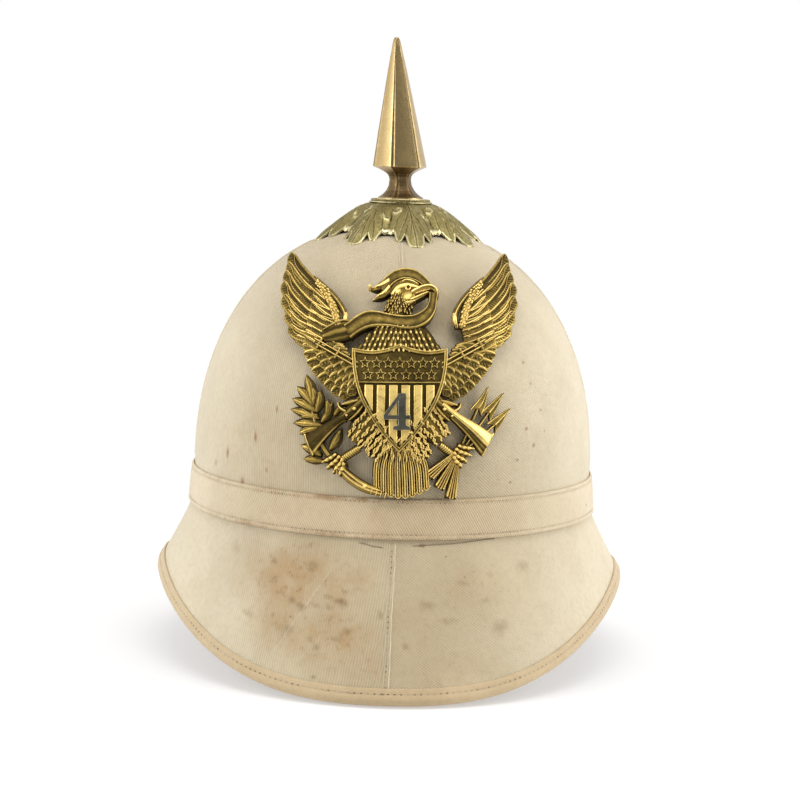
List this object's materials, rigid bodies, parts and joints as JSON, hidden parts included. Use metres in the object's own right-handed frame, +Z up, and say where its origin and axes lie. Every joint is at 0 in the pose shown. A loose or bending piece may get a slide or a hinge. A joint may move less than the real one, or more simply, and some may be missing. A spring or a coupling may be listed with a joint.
{
  "type": "pith helmet",
  "caption": "Cloth-covered dress pith helmet with a domed crown, a flared brim, a hat band, a fluted metal spike on a leaf base and a pierced metal badge on its front.",
  "frame": {"origin": "on the ground under the middle of the rim", "axes": "+Z up to the spike, the badge and the wearer's face towards -Y, +X to the wearer's left"},
  "size_m": [0.232, 0.318, 0.3024],
  "materials": {
    "drill_cloth": "off-white cotton drill over cork, foxed and spotted with age",
    "drill_trim": "folded and stitched cotton drill",
    "leaf_brass": "stamped brass, greenish and dull in the recesses",
    "spike_brass": "smooth turned brass, aged",
    "plate_brass": "gilt brass, dark in the recesses and bright on the ridges",
    "white_metal": "dull silver-grey white metal"
  },
  "bodies": {
    "root": {"shell": "drill_cloth", "hat_band": "drill_trim", "rim_binding": "drill_trim", "visor_seam": "drill_trim", "neck_seam": "drill_trim", "crown_seam_front": "drill_trim", "crown_seam_left": "drill_trim", "crown_seam_back": "drill_trim", "crown_seam_right": "drill_trim", "leaf_base": "leaf_brass", "spike": "spike_brass", "spike_post": "spike_brass", "eagle_plate": "plate_brass", "numeral_4": "white_metal"}
  },
  "joints": []
}
